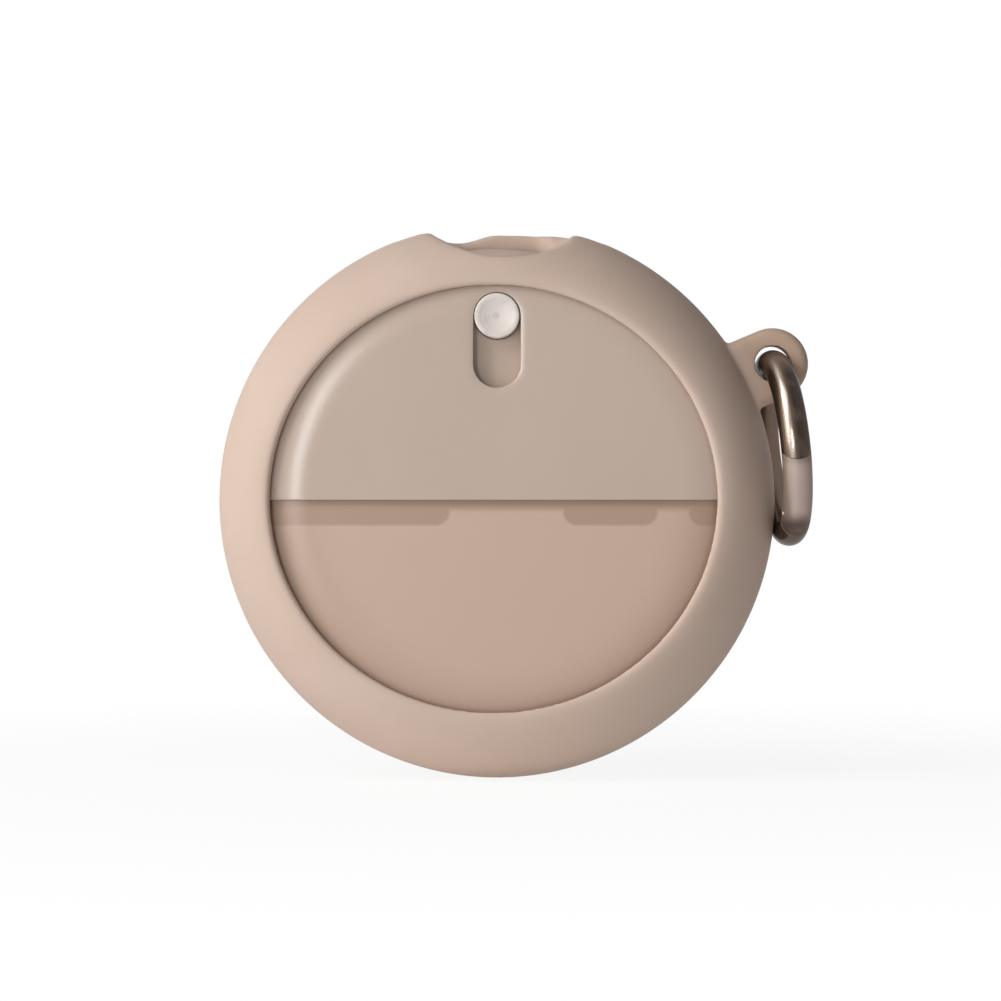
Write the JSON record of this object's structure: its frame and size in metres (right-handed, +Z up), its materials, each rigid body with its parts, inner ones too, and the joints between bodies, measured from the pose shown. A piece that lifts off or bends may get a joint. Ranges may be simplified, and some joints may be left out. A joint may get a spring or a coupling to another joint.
{
  "type": "treat case",
  "caption": "Round two-shell treat case in a soft bumper sleeve, with a thumb-slide pouring gate, a clear lower window and a spring-gate carry ring on a lug.",
  "frame": {"origin": "centre of the rear shell's flat back face", "axes": "the front faces -Y, +Z up towards the pouring mouth, +X right towards the carry lug"},
  "size_m": [0.1017, 0.0338, 0.0947],
  "materials": {
    "sleeve_rubber": "soft matte silicone, warm taupe",
    "shell_taupe": "satin moulded plastic, grey taupe",
    "window_clear": "translucent rose-tinted moulded plastic",
    "slider_plastic": "plain moulded plastic",
    "seal_rubber": "dark soft gasket rubber",
    "button_pearl": "pale pearl plastic",
    "spring_steel": "plain bright steel",
    "ring_nickel": "polished dark nickel plate",
    "ring_gate_nickel": "satin dark nickel plate"
  },
  "bodies": {
    "case": {"bumper_sleeve": "sleeve_rubber", "front_cover": "shell_taupe", "window": "window_clear", "rear_shell": "shell_taupe", "shell_seal": "seal_rubber", "guide_rail_left": "slider_plastic", "guide_rail_right": "slider_plastic", "rail_screw_1": "spring_steel", "rail_screw_2": "spring_steel", "rail_screw_3": "spring_steel", "rail_screw_4": "spring_steel", "detent_spring": "spring_steel"},
    "gate_slider": {"slide_button": "button_pearl", "slide_plate": "shell_taupe", "mouth_gate": "slider_plastic", "gate_seal": "seal_rubber", "button_screw": "spring_steel"},
    "carry_ring": {"ring_body": "ring_nickel", "gate_pin": "spring_steel"},
    "ring_latch": {"ring_gate": "ring_gate_nickel", "gate_spring": "spring_steel"}
  },
  "joints": [
    {"name": "gate_slide", "type": "slide", "parent": "case", "child": "gate_slider", "axis": [0, 0, -1], "range_m": [0, 0.0082]},
    {"name": "ring_swing", "type": "hinge", "parent": "case", "child": "carry_ring", "pos_m": [0.04751, -0.0127, 0.0234], "axis": [0, -1, 0], "range_deg": [0, 215]},
    {"name": "ring_gate_hinge", "type": "hinge", "parent": "carry_ring", "child": "ring_latch", "pos_m": [0.05093, -0.02237, -0.00166], "axis": [-0.9912, -0.0837, -0.1029], "range_deg": [0, 28], "stiffness_Nm_per_rad": 0.02, "springref_deg": -17.19}
  ]
}
